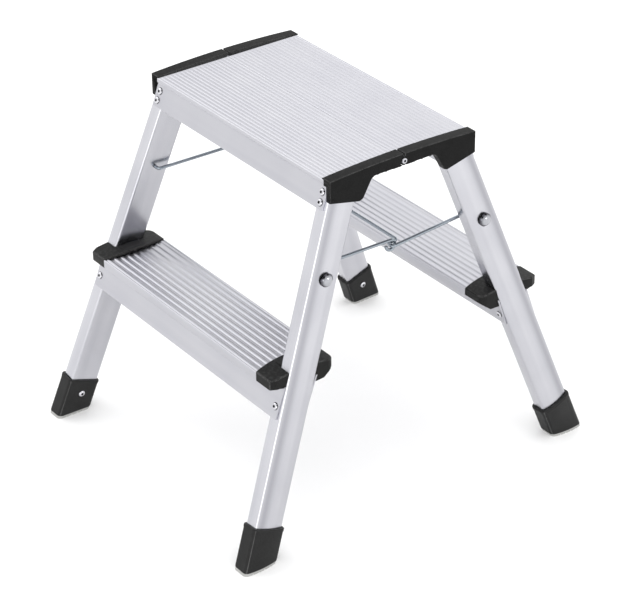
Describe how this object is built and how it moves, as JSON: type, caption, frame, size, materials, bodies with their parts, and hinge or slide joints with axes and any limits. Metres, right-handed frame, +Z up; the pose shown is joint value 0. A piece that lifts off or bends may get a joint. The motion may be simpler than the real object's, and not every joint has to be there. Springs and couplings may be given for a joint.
{
  "type": "folding step stool",
  "caption": "Folding double-sided aluminium step stool with ribbed treads, black plastic end caps and feet, and a wire spreader.",
  "frame": {"origin": "on the floor, under the middle of the platform", "axes": "+Z up, X along the steps, -Y towards the front step and +Y towards the rear one"},
  "size_m": [0.437, 0.514, 0.4454],
  "materials": {
    "aluminium": "satin extruded",
    "black_plastic": "fine moulded grain",
    "grey_rubber": "matte",
    "rivet": "bright",
    "wire": "zinc plated",
    "dome": "polished"
  },
  "bodies": {
    "front_half": {"front_left_leg": "aluminium", "front_left_step_cap": "black_plastic", "front_left_foot": "black_plastic", "front_left_sole": "grey_rubber", "front_left_top_cap": "black_plastic", "front_right_leg": "aluminium", "front_right_step_cap": "black_plastic", "front_right_foot": "black_plastic", "front_right_sole": "grey_rubber", "front_right_top_cap": "black_plastic", "front_platform_half": "aluminium", "front_step": "aluminium", "front_platform_rivets": "rivet", "front_step_rivets": "rivet", "front_foot_rivets": "rivet", "left_hinge_rivet": "rivet", "left_link_pivot": "dome", "right_link_pivot": "dome"},
    "rear_half": {"rear_left_leg": "aluminium", "rear_left_step_cap": "black_plastic", "rear_left_foot": "black_plastic", "rear_left_sole": "grey_rubber", "rear_left_top_cap": "black_plastic", "rear_right_leg": "aluminium", "rear_right_step_cap": "black_plastic", "rear_right_foot": "black_plastic", "rear_right_sole": "grey_rubber", "rear_right_top_cap": "black_plastic", "rear_platform_half": "aluminium", "rear_step": "aluminium", "rear_platform_rivets": "rivet", "rear_step_rivets": "rivet", "rear_foot_rivets": "rivet", "right_hinge_rivet": "rivet"},
    "spreader_bow": {"spreader_bow": "wire", "left_bow_cap": "dome", "right_bow_cap": "dome"},
    "left_link": {"left_spreader_link": "wire"},
    "right_link": {"right_spreader_link": "wire"}
  },
  "joints": [
    {"name": "fold", "type": "hinge", "parent": "front_half", "child": "rear_half", "pos_m": [0, 0, 0.4363], "axis": [-1, 0, 0], "range_deg": [0, 48]},
    {"name": "bow_swing", "type": "hinge", "parent": "rear_half", "child": "spreader_bow", "pos_m": [0, 0.11443, 0.327], "axis": [1, 0, 0], "range_deg": [0, 78.4]},
    {"name": "left_link_swing", "type": "hinge", "parent": "spreader_bow", "child": "left_link", "pos_m": [-0.15366, 0, 0.3185], "axis": [-1, 0, 0], "range_deg": [0, 108.6]},
    {"name": "right_link_swing", "type": "hinge", "parent": "spreader_bow", "child": "right_link", "pos_m": [0.15366, 0, 0.3185], "axis": [-1, 0, 0], "range_deg": [0, 108.6]}
  ],
  "couplings": [
    {"joint": "bow_swing", "follows": "fold", "ratio": 1.6287},
    {"joint": "left_link_swing", "follows": "fold", "ratio": 2.2574},
    {"joint": "right_link_swing", "follows": "fold", "ratio": 2.2574}
  ]
}
